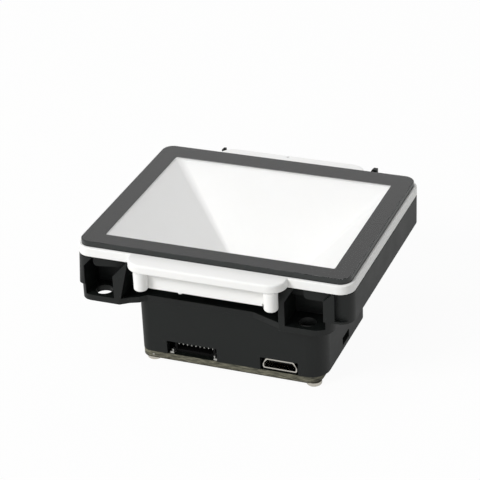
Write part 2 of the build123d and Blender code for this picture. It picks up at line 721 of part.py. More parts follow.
def domed_disc(x, y, z0, z1, radius, crown):
    """A lens element: a flat-backed disc with a spherical front."""
    ball_radius = (radius * radius + crown * crown) / (2 * crown)
    disc = rod(x, y, z0, z1, radius)
    return disc & (Pos(x, y, z1 - ball_radius) * Sphere(ball_radius))


lens_front_glass = domed_disc(lens_x, lens_y, front_glass_z, front_glass_z + 1.1, 2.5, 0.5)
retainer_z = front_glass_z + 0.75
lens_retainer = rod(lens_x, lens_y, retainer_z, barrel_top_z - 0.2, 2.5)
lens_retainer = lens_retainer - Pos(lens_x, lens_y, (retainer_z + barrel_top_z) / 2) * Cone(
    2.0, 2.3, barrel_top_z - retainer_z + 0.02)
lens_retainer = lens_retainer - lens_front_glass

# Black plate that closes the funnel's foot around the lens.
baffle_z = funnel_bottom_z - 1.25
foot_face = funnel_section(funnel_bottom_z, funnel_wall)
lens_baffle = extrude(Pos(0, 0, baffle_z - funnel_bottom_z) * foot_face, funnel_bottom_z - baffle_z - 0.02)
lens_baffle = lens_baffle - rod(lens_x, lens_y, baffle_z - 1, funnel_bottom_z + 1, barrel_radius + 0.65)

# ---------------------------------------------------------------- flex cable between the two boards
flex_half = 3.0
flex_thickness = 0.2
socket_front = 0.7
socket_back = 4.3
socket_half = 4.2
socket_height = 1.1
flex_z = board_top_z + 0.55
flex_top_z = camera_board_z - flex_thickness / 2
flex_path = FilletPolyline(
    (lens_x, -3.6, flex_top_z),
    (lens_x, -0.6, flex_top_z),
    (lens_x, -0.6, flex_z),
    (lens_x, 2.4, flex_z),
    radius=1.0,
)
flex_face = Plane.XZ * Rectangle(2 * flex_half, flex_thickness)
camera_flex = sweep(Pos(lens_x, -3.6, flex_top_z) * flex_face, path=flex_path)
flex_socket = block(lens_x - socket_half, lens_x + socket_half, socket_front, socket_back, board_top_z,
                    board_top_z + socket_height)
flex_socket = flex_socket - block(lens_x - flex_half - 0.1, lens_x + flex_half + 0.1, socket_front - 1,
                                  2.5, flex_z - flex_thickness / 2 - 0.1, flex_z + flex_thickness / 2 + 0.1)
latch_axis_y = 3.5
latch_axis_z = board_top_z + 0.55
latch_half = 3.5
latch_seat = block(lens_x - latch_half - 0.1, lens_x + latch_half + 0.1, 2.55, socket_back + 1,
                   board_top_z + 0.15, board_top_z + 2)
flex_socket = flex_socket - latch_seat
latch_pin = Pos(lens_x, latch_axis_y, latch_axis_z) * Rot(0, 90, 0)
flex_socket = flex_socket - latch_pin * Cylinder(0.2, 2 * latch_half + 0.8)
flex_latch = latch_pin * Cylinder(0.33, 2 * latch_half)
flex_latch = flex_latch + latch_pin * Cylinder(0.16, 2 * latch_half + 0.7)
flex_latch = flex_latch + block(lens_x - latch_half, lens_x + latch_half, 2.7, latch_axis_y,
                                latch_axis_z + 0.02, latch_axis_z + 0.33)
socket_contacts = [
    block(lens_x + 0.5 * i - 0.1, lens_x + 0.5 * i + 0.1, 0.25, 0.7, board_top_z, board_top_z + 0.2)
    for i in range(-5, 6)
]

# ---------------------------------------------------------------- lighting board under the tray's lid
led_z = tray_floor_z
led_top_z = led_z + 1.0
led_board = block(-29.0, -18.9, -16.4, 16.6, led_z, led_top_z)
led_board = led_board + block(22.9, 29.5, -16.4, 16.6, led_z, led_top_z)
led_board = led_board + block(-19.0, 23.0, 13.4, 16.6, led_z, led_top_z)
led_board = led_board + block(-18.9, 14.6, 13.4, 19.8, led_z, led_top_z)
led_places = [(-24.0, y) for y in (-8.5, 0.0, 8.5)]
led_places += [(26.4, y) for y in (-8.5, 0.0, 8.5)]
led_places += [(x, 17.0) for x in (-12.0, 8.0)]
white_leds = []
for x, y in led_places:
    body = block(x - 1.75, x + 1.75, y - 1.4, y + 1.4, led_top_z, led_top_z + 0.7)
    body = body - rod(x, y, led_top_z + 0.55, led_top_z + 1, 1.1)
    white_leds.append(body)
led_screw_places = ((-24.0, -14.0), (26.4, -14.0), (-2.0, 17.8))
led_screws = []
for x, y in led_screw_places:
    led_board = led_board - rod(x, y, led_z - 1, led_top_z + 1, 0.9)
    housing = housing - rod(x, y, led_z - 1.2, led_z + 1, 0.65)
    head = rod(x, y, led_top_z, led_top_z + 0.8, 1.5)
    head = fillet(head.faces().sort_by(Axis.Z)[-1].edges(), 0.3)
    screw = head + rod(x, y, led_z - 1.1, led_top_z + 0.1, 0.63)
    cross = block(x - 0.7, x + 0.7, y - 0.15, y + 0.15, led_top_z + 0.4, led_top_z + 2)
    cross = cross + block(x - 0.15, x + 0.15, y - 0.7, y + 0.7, led_top_z + 0.4, led_top_z + 2)
    led_screws.append(screw - cross)

wire_radius = 0.4
wire_x = 22.1
wire_rise_z = led_top_z + 0.9
led_wires = []
for y in (-4.7, -3.4):
    path = FilletPolyline(
        (wire_x, y, board_top_z),
        (wire_x, y, wire_rise_z),
        (wire_x + 3.4, y, wire_rise_z),
        (wire_x + 3.4, y, led_top_z),
        radius=0.85,
    )
    section = Pos(wire_x, y, board_top_z) * Circle(wire_radius)
    led_wires.append(sweep(section, path=path))

# ---------------------------------------------------------------- write every node
nodes = {
    "window_glass": (window_glass, clear),
    "border_print": (border_print, black),
    "window_tape": (window_tape, black),
    "light_funnel": (light_funnel, white),
    "housing": (housing, black),
    "main_board": (main_board, olive),
    "board_screws": (group(board_screws), metal),
    "usb_shell": (usb_shell, metal),
    "usb_tongue": (usb_tongue, black),
    "usb_contacts": (group(usb_contacts), gold),
    "wafer_housing": (wafer_housing, black),
    "wafer_contacts": (group(wafer_contacts), gold),
    "wafer_tabs": (group(wafer_tabs), metal),
    "processor": (processor, black),
    "memory_chip": (memory_chip, black),
    "flash_chip": (flash_chip, black),
    "crystal": (crystal, metal),
    "power_regulators": (group(power_regulators), black),
    "power_inductors": (group(power_inductors), black),
    "board_capacitors": (group(board_capacitors), gold),
    "buzzer": (buzzer, black),
    "status_led": (status_led, white),
    "camera_board": (camera_board, mask),
    "camera_spacers": (group(camera_spacers), gold),
    "camera_screws": (group(camera_screws), metal),
    "image_sensor": (image_sensor, black),
    "sensor_glass": (sensor_glass, clear),
    "lens_holder": (lens_holder, black),
    "infrared_filter": (infrared_filter, clear),
    "lens_barrel": (lens_barrel, black),
    "lens_rear_glass": (lens_rear_glass, clear),
    "lens_front_glass": (lens_front_glass, clear),
    "lens_retainer": (lens_retainer, black),
    "lens_baffle": (lens_baffle, black),
    "camera_flex": (camera_flex, gold),
    "flex_socket": (flex_socket, white),
    "flex_latch": (flex_latch, black),
    "socket_contacts": (group(socket_contacts), gold),
    "led_board": (led_board, white),
    "white_leds": (group(white_leds), white),
    "led_screws": (group(led_screws), metal),
    "led_wires": (group(led_wires), black),
}
for name, (shape, colour) in nodes.items():
    save(name, shape, colour)
print(len(nodes), "nodes written")
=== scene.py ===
import bmesh
import bpy
import math
from mathutils import Matrix, Vector


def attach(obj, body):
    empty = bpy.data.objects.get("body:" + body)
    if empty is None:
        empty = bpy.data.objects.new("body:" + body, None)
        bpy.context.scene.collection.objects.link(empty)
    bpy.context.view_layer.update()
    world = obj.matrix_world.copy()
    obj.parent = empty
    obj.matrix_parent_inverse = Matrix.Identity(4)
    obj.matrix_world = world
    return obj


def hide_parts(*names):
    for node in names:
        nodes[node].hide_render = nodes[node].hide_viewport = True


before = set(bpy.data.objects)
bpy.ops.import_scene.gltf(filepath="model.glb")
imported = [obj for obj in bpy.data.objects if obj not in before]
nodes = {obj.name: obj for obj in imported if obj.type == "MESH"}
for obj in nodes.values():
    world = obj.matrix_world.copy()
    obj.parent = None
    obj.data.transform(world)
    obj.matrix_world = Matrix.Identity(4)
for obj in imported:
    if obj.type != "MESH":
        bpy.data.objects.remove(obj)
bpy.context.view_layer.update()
mm = 0.001
print("frame loaded with", len(nodes), "nodes")


def fromHex(text, alpha=1.0):
    # sRGB hex to the linear colour that a shader wants
    parts = [int(text[i:i + 2], 16) / 255 for i in (1, 3, 5)]
    linear = [c / 12.92 if c <= 0.04045 else ((c + 0.055) / 1.055) ** 2.4 for c in parts]
    return (*linear, alpha)


def addNode(tree, kind, values=None, links=None, **settings):
    # one node, its settings, its socket values and what feeds its sockets
    node = tree.nodes.new(kind)
    for key, value in settings.items():
        setattr(node, key, value)
    for key, value in (values or {}).items():
        node.inputs[key].default_value = value
    for key, source in (links or {}).items():
        tree.links.new(source, node.inputs[key])
    return node


def startMaterial(name):
    # an empty material with its output node
    material = bpy.data.materials.new(name)
    material.use_nodes = True
    tree = material.node_tree
    tree.nodes.clear()
    return material, tree, addNode(tree, "ShaderNodeOutputMaterial")


def dress(names, material):
    # a CAD node keeps its mesh and gets this finish
    for name in names:
        slots = nodes[name].data.materials
        slots.clear()
        slots.append(material)


def newPiece(name, mesh, body, materials, smoothAngle=None):
    # a built mesh becomes a piece that rides on a body
    piece = bpy.data.objects.new(name, mesh)
    bpy.context.scene.collection.objects.link(piece)
    for material in materials:
        mesh.materials.append(material)
    if smoothAngle is not None:
        mesh.shade_smooth()
        mesh.set_sharp_from_angle(angle=math.radians(smoothAngle))
    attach(piece, body)
    return piece


# camera: a long lens from the front right, a little above
view = {
    "azimuth": 22.303,
    "elevation": 28.444,
    "roll": -2.651,
    "distance": 422.03,
    "lens": 142.21,
    "sensor": 36.0,
    "lookAt": (0.0, 0.0, 30.0),
    "aside": -2.428,
    "above": -7.174,
    "nearest": 0.02,
}


def placeCamera(view):
    a, e, r = (math.radians(view[k]) for k in ("azimuth", "elevation", "roll"))
    back = Vector((math.sin(a) * math.cos(e), -math.cos(a) * math.cos(e), math.sin(e)))
    level = (-back).cross(Vector((0, 0, 1))).normalized()
    upright = level.cross(-back)
    right = level * math.cos(r) + upright * math.sin(r)
    up = upright * math.cos(r) - level * math.sin(r)
    aim = Vector(view["lookAt"]) + right * view["aside"] + up * view["above"]
    data = bpy.data.cameras.new("studioCamera")
    data.lens = view["lens"]
    data.sensor_width = view["sensor"]
    data.clip_start = view["nearest"]
    camera = bpy.data.objects.new("studioCamera", data)
    turn = Matrix((right, up, back)).transposed()
    camera.matrix_world = Matrix.Translation((aim + back * view["distance"]) * mm) @ turn.to_4x4()
    bpy.context.scene.collection.objects.link(camera)
    bpy.context.scene.camera = camera


placeCamera(view)
print("camera placed")

# finishes


def moulded(name, look):
    # injection-moulded plastic: an even colour with a faint cloud in it, a fine spark-eroded
    # skin, and edges that are a touch round; a real skin has a grain of about 0.05 mm, which
    # is too fine to show, so it is drawn coarser
    material, tree, output = startMaterial(name)
    place = addNode(tree, "ShaderNodeTexCoord").outputs["Object"]
    cloud = addNode(tree, "ShaderNodeTexNoise",
                    {"Scale": 1 / (look["cloudMm"] * mm), "Detail": 3.0, "Roughness": 0.55},
                    {"Vector": place})
    colour = addNode(tree, "ShaderNodeMix",
                     {"A": fromHex(look["colour"]), "B": fromHex(look["tone"])},
                     {"Factor": cloud.outputs["Fac"]}, data_type="RGBA")
    grain = addNode(tree, "ShaderNodeTexNoise",
                    {"Scale": 1 / (look["grainMm"] * mm), "Detail": 2.0, "Roughness": 0.6},
                    {"Vector": place})
    polish = addNode(tree, "ShaderNodeMapRange",
                     {"From Min": 0.25, "From Max": 0.75,
                      "To Min": look["roughness"] - look["spread"],
                      "To Max": look["roughness"] + look["spread"]},
                     {"Value": cloud.outputs["Fac"]})
    rounded = addNode(tree, "ShaderNodeBevel", {"Radius": look["edgeMm"] * mm}, samples=4)
    bump = addNode(tree, "ShaderNodeBump",
                   {"Strength": look["grainStrength"], "Distance": look["grainDepthMm"] * mm},
                   {"Height": grain.outputs["Fac"], "Normal": rounded.outputs["Normal"]})
    shader = addNode(tree, "ShaderNodeBsdfPrincipled",
                     {"IOR": look["ior"]},
                     {"Base Color": colour.outputs["Result"], "Roughness": polish.outputs["Result"],
                      "Normal": bump.outputs["Normal"]})
    if "gloss" in look:
        shader.inputs["Specular IOR Level"].default_value = look["gloss"]
    if "glow" in look:
        shader.inputs["Subsurface Weight"].default_value = look["glow"]
        shader.inputs["Subsurface Radius"].default_value = (1.0, 0.95, 0.85)
        shader.inputs["Subsurface Scale"].default_value = look["glowMm"] * mm
    tree.links.new(shader.outputs["BSDF"], output.inputs["Surface"])
    return material


def metal(name, look):
    # plated or turned metal: fine lines one way, drawn coarser than the real 0.02 mm so that
    # they show, and a little tarnish in patches
    material, tree, output = startMaterial(name)
    place = addNode(tree, "ShaderNodeTexCoord").outputs["Object"]
    fine = 1 / (look["lineMm"] * mm)
    stretched = addNode(tree, "ShaderNodeMapping",
                        {"Scale": tuple(fine * s for s in look["lineStretch"])},
                        {"Vector": place})
    lines = addNode(tree, "ShaderNodeTexNoise", {"Scale": 1.0, "Detail": 3.0},
                    {"Vector": stretched.outputs["Vector"]})
    patches = addNode(tree, "ShaderNodeTexNoise",
                      {"Scale": 1 / (look["patchMm"] * mm), "Detail": 4.0, "Roughness": 0.6},
                      {"Vector": place})
    colour = addNode(tree, "ShaderNodeMix",
                     {"A": fromHex(look["colour"]), "B": fromHex(look["tone"])},
                     {"Factor": patches.outputs["Fac"]}, data_type="RGBA")
    polish = addNode(tree, "ShaderNodeMapRange",
                     {"From Min": 0.2, "From Max": 0.8,
                      "To Min": look["roughness"] - look["spread"],
                      "To Max": look["roughness"] + look["spread"]},
                     {"Value": patches.outputs["Fac"]})
    rounded = addNode(tree, "ShaderNodeBevel", {"Radius": look["edgeMm"] * mm}, samples=4)
    bump = addNode(tree, "ShaderNodeBump",
                   {"Strength": look["lineStrength"], "Distance": 0.01 * mm},
                   {"Height": lines.outputs["Fac"], "Normal": rounded.outputs["Normal"]})
    shader = addNode(tree, "ShaderNodeBsdfPrincipled", {"Metallic": 1.0},
                     {"Base Color": colour.outputs["Result"], "Roughness": polish.outputs["Result"],
                      "Normal": bump.outputs["Normal"]})
    tree.links.new(shader.outputs["BSDF"], output.inputs["Surface"])
    return material


def glass(name, look):
    # clear glass that lets lamp light straight through, so that what is behind it is lit
    material, tree, output = startMaterial(name)
    place = addNode(tree, "ShaderNodeTexCoord").outputs["Object"]
    haze = addNode(tree, "ShaderNodeTexNoise",
                   {"Scale": 1 / (look["hazeMm"] * mm), "Detail": 3.0}, {"Vector": place})
    polish = addNode(tree, "ShaderNodeMapRange",
                     {"From Min": 0.3, "From Max": 0.8, "To Min": 0.0, "To Max": look["haze"]},
                     {"Value": haze.outputs["Fac"]})
    shader = addNode(tree, "ShaderNodeBsdfPrincipled",
                     {"Base Color": fromHex(look["colour"]), "IOR": look["ior"],
                      "Transmission Weight": 1.0},
                     {"Roughness": polish.outputs["Result"]})
    if "coat" in look:
        shader.inputs["Coat Weight"].default_value = look["coatWeight"]
        shader.inputs["Coat Tint"].default_value = fromHex(look["coat"])
        shader.inputs["Coat Roughness"].default_value = look["coatRoughness"]
    clear = addNode(tree, "ShaderNodeBsdfTransparent", {"Color": fromHex(look["passes"])})
    path = addNode(tree, "ShaderNodeLightPath")
    through = addNode(tree, "ShaderNodeMath", {}, {0: path.outputs["Is Shadow Ray"],
                                                   1: path.outputs["Is Diffuse Ray"]},
                      operation="MAXIMUM")
    mixed = addNode(tree, "ShaderNodeMixShader", {},
                    {0: through.outputs["Value"], 1: shader.outputs["BSDF"], 2: clear.outputs["BSDF"]})
    tree.links.new(mixed.outputs["Shader"], output.inputs["Surface"])
    return material


# black ABS, moulded with a fine satin skin: near-black fronts, grey where it turns away
blackAbs = moulded("mouldedBlackAbs", {
    "colour": "#0c0f0e", "tone": "#121514", "roughness": 0.5, "spread": 0.05, "ior": 1.5,
    "gloss": 0.3, "cloudMm": 9.0, "grainMm": 0.35, "grainDepthMm": 0.012, "grainStrength": 0.5,
    "edgeMm": 0.16,
})
# white ABS with much titanium dioxide: a soft bright white that lets a little light in at edges
whiteAbs = moulded("mouldedWhiteAbs", {
    "colour": "#f5f5f4", "tone": "#f2f2f0", "roughness": 0.42, "spread": 0.05, "ior": 1.5,
    "cloudMm": 12.0, "grainMm": 0.3, "grainDepthMm": 0.008, "grainStrength": 0.4, "edgeMm": 0.2,
    "glow": 0.12, "glowMm": 0.6,
})
# black liquid-crystal polymer of small connectors: dense, dull, a little grey
blackLcp = moulded("mouldedBlackLcp", {
    "colour": "#060606", "tone": "#0b0b0b", "roughness": 0.6, "spread": 0.05, "ior": 1.55,
    "gloss": 0.2, "cloudMm": 2.0, "grainMm": 0.2, "grainDepthMm": 0.006, "grainStrength": 0.4,
    "edgeMm": 0.05,
})
# the same polymer undyed: a cream socket, dry and even
creamLcp = moulded("mouldedCreamLcp", {
    "colour": "#e4dfca", "tone": "#d8d2ba", "roughness": 0.5, "spread": 0.05, "ior": 1.55,
    "cloudMm": 2.0, "grainMm": 0.2, "grainDepthMm": 0.006, "grainStrength": 0.4, "edgeMm": 0.05,
})
# black glass-filled nylon of the lens holder and baffle: matt, so that it kills stray light
mattNylon = moulded("mattBlackNylon", {
    "colour": "#0d0d0e", "tone": "#151516", "roughness": 0.72, "spread": 0.06, "ior": 1.53,
    "cloudMm": 4.0, "grainMm": 0.25, "grainDepthMm": 0.02, "grainStrength": 0.6, "edgeMm": 0.08,
})
# transfer-moulded epoxy of chip packages: charcoal with a dry, laser-ready skin
epoxyChip = moulded("mouldedChipEpoxy", {
    "colour": "#1c1d1f", "tone": "#232427", "roughness": 0.6, "spread": 0.05, "ior": 1.55,
    "cloudMm": 1.5, "grainMm": 0.15, "grainDepthMm": 0.006, "grainStrength": 0.5, "edgeMm": 0.04,
})
# iron powder pressed with resin: a mottled dark grey, a little rough
pressedFerrite = moulded("pressedFerrite", {
    "colour": "#3a3b3d", "tone": "#2c2d2f", "roughness": 0.55, "spread": 0.1, "ior": 1.6,
    "cloudMm": 0.8, "grainMm": 0.2, "grainDepthMm": 0.02, "grainStrength": 0.7, "edgeMm": 0.08,
})
# barium titanate chip capacitor: fired ceramic, tan, slightly glazed
firedCeramic = moulded("firedTanCeramic", {
    "colour": "#a4814f", "tone": "#8b6c40", "roughness": 0.4, "spread": 0.08, "ior": 1.6,
    "cloudMm": 0.9, "grainMm": 0.15, "grainDepthMm": 0.005, "grainStrength": 0.4, "edgeMm": 0.05,
})
# silicone filled with phosphor in a white cup: warm yellow and soft
phosphorResin = moulded("phosphorResin", {
    "colour": "#f0e08a", "tone": "#f3ecc4", "roughness": 0.3, "spread": 0.05, "ior": 1.41,
    "cloudMm": 0.8, "grainMm": 0.2, "grainDepthMm": 0.004, "grainStrength": 0.3, "edgeMm": 0.05,
    "glow": 0.2, "glowMm": 0.3,
})
# fired alumina of the sensor's package: dark slate, smooth and cold
darkCeramic = moulded("firedDarkCeramic", {
    "colour": "#2a2b2f", "tone": "#222326", "roughness": 0.45, "spread": 0.05, "ior": 1.6,
    "cloudMm": 1.5, "grainMm": 0.2, "grainDepthMm": 0.005, "grainStrength": 0.4, "edgeMm": 0.05,
})
# soft extruded wire cover: red, a little waxy
wireSilicone = moulded("extrudedRedSilicone", {
    "colour": "#a3191a", "tone": "#8d1416", "roughness": 0.45, "spread": 0.05, "ior": 1.41,
    "cloudMm": 1.5, "grainMm": 0.2, "grainDepthMm": 0.004, "grainStrength": 0.3, "edgeMm": 0.05,
})
# amber polyimide film: glossy, with the copper's warmth under it
polyimideFilm = moulded("polyimideFilm", {
    "colour": "#b5701c", "tone": "#9c5a12", "roughness": 0.25, "spread": 0.04, "ior": 1.68,
    "cloudMm": 1.2, "grainMm": 0.3, "grainDepthMm": 0.003, "grainStrength": 0.3, "edgeMm": 0.03,
})
# acrylic foam tape: black, dull, slightly spongy at its cut edge
foamTape = moulded("acrylicFoamTape", {
    "colour": "#161616", "tone": "#1f1f1f", "roughness": 0.85, "spread": 0.05, "ior": 1.47,
    "cloudMm": 1.0, "grainMm": 0.2, "grainDepthMm": 0.02, "grainStrength": 0.8, "edgeMm": 0.03,
})
# the plate's ground edge: the dark of the ink shows through its fine matt face
groundEdge = moulded("groundGlassEdge", {
    "colour": "#191d1c", "tone": "#202423", "roughness": 0.32, "spread": 0.05, "ior": 1.52,
    "cloudMm": 3.0, "grainMm": 0.2, "grainDepthMm": 0.004, "grainStrength": 0.3, "edgeMm": 0.06,
})
# white solder mask: a smooth, slightly glossy white that throws lamp light back
whiteMask = moulded("whiteSolderMask", {
    "colour": "#e6e8e6", "tone": "#dcdfdc", "roughness": 0.35, "spread": 0.06, "ior": 1.55,
    "cloudMm": 3.0, "grainMm": 0.4, "grainDepthMm": 0.006, "grainStrength": 0.4, "edgeMm": 0.05,
})

# nickel plate on the screws and the shell: warm silver, bright edges
nickelScrew = metal("nickelPlatedSteel", {
    "colour": "#d9d5cc", "tone": "#bdb8ad", "roughness": 0.3, "spread": 0.08, "lineMm": 0.15,
    "lineStretch": (1, 1, 1), "lineStrength": 0.25, "patchMm": 1.2, "edgeMm": 0.08,
})
nickelShell = metal("nickelPlatedShell", {
    "colour": "#d2cfc8", "tone": "#bab6ad", "roughness": 0.22, "spread": 0.06, "lineMm": 0.12,
    "lineStretch": (1, 0.08, 1), "lineStrength": 0.3, "patchMm": 1.5, "edgeMm": 0.06,
})
# tin plate on terminals: pale and softer than nickel
tinPlate = metal("mattTinPlate", {
    "colour": "#bfbfbc", "tone": "#a3a39f", "roughness": 0.42, "spread": 0.08, "lineMm": 0.1,
    "lineStretch": (1, 0.1, 1), "lineStrength": 0.3, "patchMm": 0.6, "edgeMm": 0.03,
})
# thin gold over nickel: a pale warm yellow
goldFlash = metal("goldFlash", {
    "colour": "#dcb15a", "tone": "#c99a45", "roughness": 0.24, "spread": 0.06, "lineMm": 0.1,
    "lineStretch": (1, 0.1, 1), "lineStrength": 0.25, "patchMm": 0.6, "edgeMm": 0.03,
})
# brass spacers: yellow, with turning rings round them
turnedBrass = metal("turnedBrass", {
    "colour": "#c9a45c", "tone": "#b18a44", "roughness": 0.28, "spread": 0.06, "lineMm": 0.12,
    "lineStretch": (0.1, 0.1, 1), "lineStrength": 0.4, "patchMm": 1.0, "edgeMm": 0.05,
})
# black anodised aluminium: metal under a black skin, with turning rings
blackAnodised = metal("blackAnodisedAluminium", {
    "colour": "#1b1b1d", "tone": "#232326", "roughness": 0.42, "spread": 0.06, "lineMm": 0.12,
    "lineStretch": (0.1, 0.1, 1), "lineStrength": 0.4, "patchMm": 1.5, "edgeMm": 0.05,
})
# the crystal's can, drawn from nickel silver: grey, with faint draw lines
drawnCan = metal("drawnNickelCan", {
    "colour": "#cfccc4", "tone": "#b5b2a9", "roughness": 0.3, "spread": 0.05, "lineMm": 0.15,
    "lineStretch": (1, 0.15, 1), "lineStrength": 0.35, "patchMm": 1.0, "edgeMm": 0.08,
})

# float glass: sharp reflections of the room, and nearly all the light comes through
floatGlass = glass("floatGlass", {
    "colour": "#ffffff", "passes": "#fbfbfb", "ior": 1.52, "haze": 0.004, "hazeMm": 14.0,
})
# coated optical glass: a violet-green bloom on the lens
lensGlass = glass("coatedLensGlass", {
    "colour": "#f4fbf8", "passes": "#dde8e4", "ior": 1.62, "haze": 0.02, "hazeMm": 2.0,
    "coat": "#8a6fd0", "coatWeight": 0.3, "coatRoughness": 0.02,
})
# infrared filter: blue-green glass with a pink bloom
filterGlass = glass("infraredFilterGlass", {
    "colour": "#bfe6e0", "passes": "#b5d8d4", "ior": 1.52, "haze": 0.02, "hazeMm": 2.0,
    "coat": "#d06a8a", "coatWeight": 0.3, "coatRoughness": 0.02,
})


def screenInk(look):
    # ink seen through the plate it is printed on: flat black, with no gloss of its own, and the
    # weave of the print screen, drawn coarser than its real 0.1 mm
    material, tree, output = startMaterial("screenPrintedInk")
    place = addNode(tree, "ShaderNodeTexCoord").outputs["Object"]
    weave = addNode(tree, "ShaderNodeTexNoise",
                    {"Scale": 1 / (look["meshMm"] * mm), "Detail": 1.0}, {"Vector": place})
    colour = addNode(tree, "ShaderNodeMix",
                     {"A": fromHex(look["colour"]), "B": fromHex(look["tone"])},
                     {"Factor": weave.outputs["Fac"]}, data_type="RGBA")
    shader = addNode(tree, "ShaderNodeBsdfPrincipled",
                     {"Roughness": 0.9, "Specular IOR Level": 0.0},
                     {"Base Color": colour.outputs["Result"]})
    tree.links.new(shader.outputs["BSDF"], output.inputs["Surface"])
    return material


printedInk = screenInk({"colour": "#070a0a", "tone": "#0a0e0e", "meshMm": 0.4})


def circuitBoard(name, look):
    # glass-fibre laminate: coloured solder mask above and below, and the sawn edge between,
    # where the resin and the ends of the fibres show in layers
    material, tree, output = startMaterial(name)
    place = addNode(tree, "ShaderNodeTexCoord").outputs["Object"]
    normal = addNode(tree, "ShaderNodeSeparateXYZ", {},
                     {0: addNode(tree, "ShaderNodeNewGeometry").outputs["Normal"]})
    level = addNode(tree, "ShaderNodeMath", {}, {0: normal.outputs["Z"]}, operation="ABSOLUTE")
    isFace = addNode(tree, "ShaderNodeMath", {1: 0.5}, {0: level.outputs["Value"]},
                     operation="GREATER_THAN")
    height = addNode(tree, "ShaderNodeSeparateXYZ", {}, {0: place})
    share = addNode(tree, "ShaderNodeMapRange",
                    {"From Min": look["lowMm"] * mm, "From Max": look["highMm"] * mm},
                    {"Value": height.outputs["Z"]})
    long = addNode(tree, "ShaderNodeMapping",
                   {"Scale": (1 / (look["fibreMm"] * mm), 1 / (look["fibreMm"] * mm),
                              1 / (look["layerMm"] * mm))}, {"Vector": place})
    fibres = addNode(tree, "ShaderNodeTexNoise", {"Scale": 1.0, "Detail": 4.0, "Roughness": 0.65},
                     {"Vector": long.outputs["Vector"]})
    layers = addNode(tree, "ShaderNodeValToRGB", {}, {"Fac": fibres.outputs["Fac"]})
    stops = layers.color_ramp.elements
    stops[0].position, stops[0].color = look["resinAt"], fromHex(look["resin"])
    stops[1].position, stops[1].color = look["fibreAt"], fromHex(look["fibre"])
    # the sawn edge is drawn darker in a band along its bottom, fading out a little way up, and this is
    # multiplied over the fibre layers
    edgeFootDarkening = addNode(tree, "ShaderNodeValToRGB", {}, {"Fac": share.outputs["Result"]})
    edgeFootStops = edgeFootDarkening.color_ramp.elements
    edgeFootStops[0].position, edgeFootStops[0].color = 0.0, fromHex(look["underline"])
    edgeFootStops[1].position, edgeFootStops[1].color = 1.0, (1, 1, 1, 1)
    middle = edgeFootDarkening.color_ramp.elements.new(look["underlineShare"])
    middle.color = (1, 1, 1, 1)
    edge = addNode(tree, "ShaderNodeMix", {"Factor": 1.0},
                   {"A": layers.outputs["Color"], "B": edgeFootDarkening.outputs["Color"]},
                   data_type="RGBA", blend_type="MULTIPLY")
    pour = addNode(tree, "ShaderNodeTexVoronoi", {"Scale": 1 / (look["pourMm"] * mm)},
                   {"Vector": place}, distance="MANHATTAN", feature="F1")
    tracks = addNode(tree, "ShaderNodeMath", {1: look["pourReach"]}, {0: pour.outputs["Distance"]},
                     operation="LESS_THAN")
    mask = addNode(tree, "ShaderNodeMix",
                   {"A": fromHex(look["mask"]), "B": fromHex(look["overCopper"])},
                   {"Factor": tracks.outputs["Value"]}, data_type="RGBA")
    colour = addNode(tree, "ShaderNodeMix", {},
                     {"Factor": isFace.outputs["Value"], "A": edge.outputs["Result"],
                      "B": mask.outputs["Result"]}, data_type="RGBA")
    polish = addNode(tree, "ShaderNodeMapRange",
                     {"To Min": look["edgeRoughness"], "To Max": look["maskRoughness"]},
                     {"Value": isFace.outputs["Value"]})
    bump = addNode(tree, "ShaderNodeBump", {"Strength": 0.6, "Distance": 0.03 * mm},
                   {"Height": fibres.outputs["Fac"]})
    shader = addNode(tree, "ShaderNodeBsdfPrincipled", {"IOR": 1.55},
                     {"Base Color": colour.outputs["Result"], "Roughness": polish.outputs["Result"],
                      "Normal": bump.outputs["Normal"]})
    tree.links.new(shader.outputs["BSDF"], output.inputs["Surface"])
    return material


# glass-fibre laminate: an olive-brown sawn edge with pale fibre ends, and satin black mask over
# the copper, which shows as faint raised tracks; the fibres are drawn coarser than real ones
boardLook = {
    "fibreMm": 2.4, "resin": "#34342a", "fibre": "#8a8775", "resinAt": 0.38, "fibreAt": 0.72,
    "underline": "#34322a", "underlineShare": 0.22, "pourReach": 0.45, "edgeRoughness": 0.75,
    "mask": "#0d100e", "overCopper": "#161a17", "maskRoughness": 0.32,
}
laminate = circuitBoard("laminateWithBlackMask", {
    **boardLook, "lowMm": 1.0, "highMm": 2.6, "layerMm": 0.32, "pourMm": 2.2,
})
smallLaminate = circuitBoard("thinLaminateWithBlackMask", {
    **boardLook, "lowMm": 5.4, "highMm": 6.2, "layerMm": 0.3, "pourMm": 1.6,
})
print("finishes mixed")

# CAD nodes that keep their shape
dress(["housing"], blackAbs)
dress(["light_funnel"], whiteAbs)
dress(["border_print"], printedInk)
dress(["window_tape"], foamTape)
dress(["main_board"], laminate)
dress(["camera_board"], smallLaminate)
dress(["board_screws", "camera_screws", "led_screws"], nickelScrew)
dress(["usb_shell"], nickelShell)
dress(["usb_tongue", "wafer_housing", "buzzer", "flex_latch"], blackLcp)
dress(["usb_contacts", "socket_contacts"], goldFlash)
dress(["wafer_contacts", "wafer_tabs"], tinPlate)
dress(["processor", "memory_chip", "flash_chip", "power_regulators"], epoxyChip)
dress(["crystal"], drawnCan)
dress(["power_inductors"], pressedFerrite)
dress(["board_capacitors"], firedCeramic)
dress(["status_led", "white_leds"], phosphorResin)
dress(["camera_spacers"], turnedBrass)
dress(["image_sensor"], darkCeramic)
dress(["sensor_glass"], lensGlass)
dress(["infrared_filter"], filterGlass)
dress(["lens_holder", "lens_baffle"], mattNylon)
dress(["lens_barrel", "lens_retainer"], blackAnodised)
dress(["lens_rear_glass", "lens_front_glass"], lensGlass)
dress(["camera_flex"], polyimideFilm)
dress(["flex_socket"], creamLcp)
dress(["led_board"], whiteMask)
dress(["led_wires"], wireSilicone)
print("frame nodes dressed")

